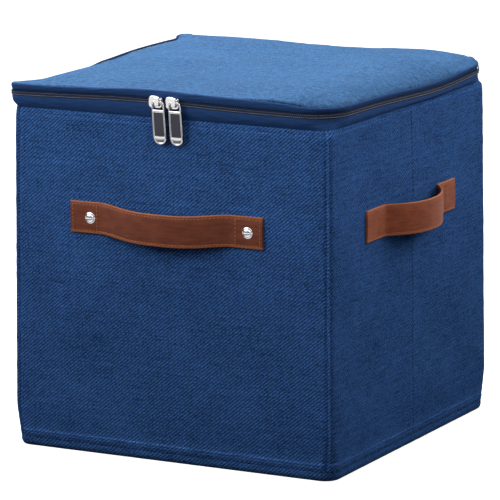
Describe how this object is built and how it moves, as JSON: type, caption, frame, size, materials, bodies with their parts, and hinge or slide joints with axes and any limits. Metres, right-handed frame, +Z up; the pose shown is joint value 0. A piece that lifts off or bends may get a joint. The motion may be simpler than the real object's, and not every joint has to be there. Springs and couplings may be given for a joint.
{
  "type": "fabric storage bin",
  "caption": "Cube-shaped fabric storage bin with stiffened walls, a hinged lid closed by a two-slider zip round three sides, leather strap handles and a lift-out base board.",
  "frame": {"origin": "centre of the base's underside, on the floor", "axes": "+Z up, -Y out of the front with the zip pulls and riveted handle, +X to the right side handle seen from the front"},
  "size_m": [0.3648, 0.3339, 0.3325],
  "materials": {
    "body_fabric": "coarse woven polyester linen, royal blue",
    "lid_fabric": "finer woven polyester linen, royal blue, heathered",
    "trim_fabric": "smooth plain-woven navy",
    "lining_fabric": "matt non-woven navy",
    "stiffener_board": "grey-brown board",
    "zip_tape": "close-woven navy zip tape",
    "zip_teeth": "dark nylon coil",
    "zip_metal": "polished nickel plating",
    "handle_leather": "brown leather with a fine grain",
    "rivet_metal": "polished nickel plating"
  },
  "bodies": {
    "bin": {"base_outer_fabric": "body_fabric", "base_hem_band": "body_fabric", "base_lining": "lining_fabric", "front_outer_fabric": "body_fabric", "right_outer_fabric": "body_fabric", "back_outer_fabric": "body_fabric", "left_outer_fabric": "body_fabric", "front_board": "stiffener_board", "right_front_board": "stiffener_board", "right_back_board": "stiffener_board", "back_board": "stiffener_board", "left_front_board": "stiffener_board", "left_back_board": "stiffener_board", "front_lining": "lining_fabric", "right_lining": "lining_fabric", "back_lining": "lining_fabric", "left_lining": "lining_fabric", "corner_seams": "body_fabric", "rim_binding": "trim_fabric", "zip_lower_tape": "zip_tape", "zip_lower_teeth": "zip_teeth", "zip_end_stops": "zip_metal", "back_hinge_strip": "trim_fabric", "front_handle_strap": "handle_leather", "right_handle_strap": "handle_leather", "left_handle_strap": "handle_leather", "front_rivet_caps": "rivet_metal", "front_rivet_backs": "rivet_metal"},
    "lid": {"lid_outer_fabric": "lid_fabric", "lid_board": "stiffener_board", "lid_lining": "lining_fabric", "lid_side_band": "trim_fabric", "zip_upper_tape": "zip_tape", "zip_upper_teeth": "zip_teeth"},
    "base_insert": {"insert_bottom_cover": "lining_fabric", "insert_board": "stiffener_board", "insert_top_cover": "lining_fabric"},
    "left_slider": {"left_slider_body": "zip_metal"},
    "left_pull": {"left_pull_tab": "zip_metal"},
    "right_slider": {"right_slider_body": "zip_metal"},
    "right_pull": {"right_pull_tab": "zip_metal"}
  },
  "joints": [
    {"name": "lid_hinge", "type": "hinge", "parent": "bin", "child": "lid", "pos_m": [0, 0.16, 0.3325], "axis": [-1, 0, 0], "range_deg": [0, 250]},
    {"name": "base_insert_lift", "type": "slide", "parent": "bin", "child": "base_insert", "axis": [0, 0, 1], "range_m": [0, 0.3]},
    {"name": "left_slider_travel", "type": "slide", "parent": "bin", "child": "left_slider", "axis": [-1, 0, 0], "range_m": [0, 0.124]},
    {"name": "right_slider_travel", "type": "slide", "parent": "bin", "child": "right_slider", "axis": [1, 0, 0], "range_m": [0, 0.127]},
    {"name": "left_pull_flip", "type": "hinge", "parent": "left_slider", "child": "left_pull", "pos_m": [-0.0072, -0.165, 0.3255], "axis": [-1, 0, 0], "range_deg": [0, 165]},
    {"name": "right_pull_flip", "type": "hinge", "parent": "right_slider", "child": "right_pull", "pos_m": [0.0094, -0.165, 0.3255], "axis": [-1, 0, 0], "range_deg": [0, 165]}
  ]
}
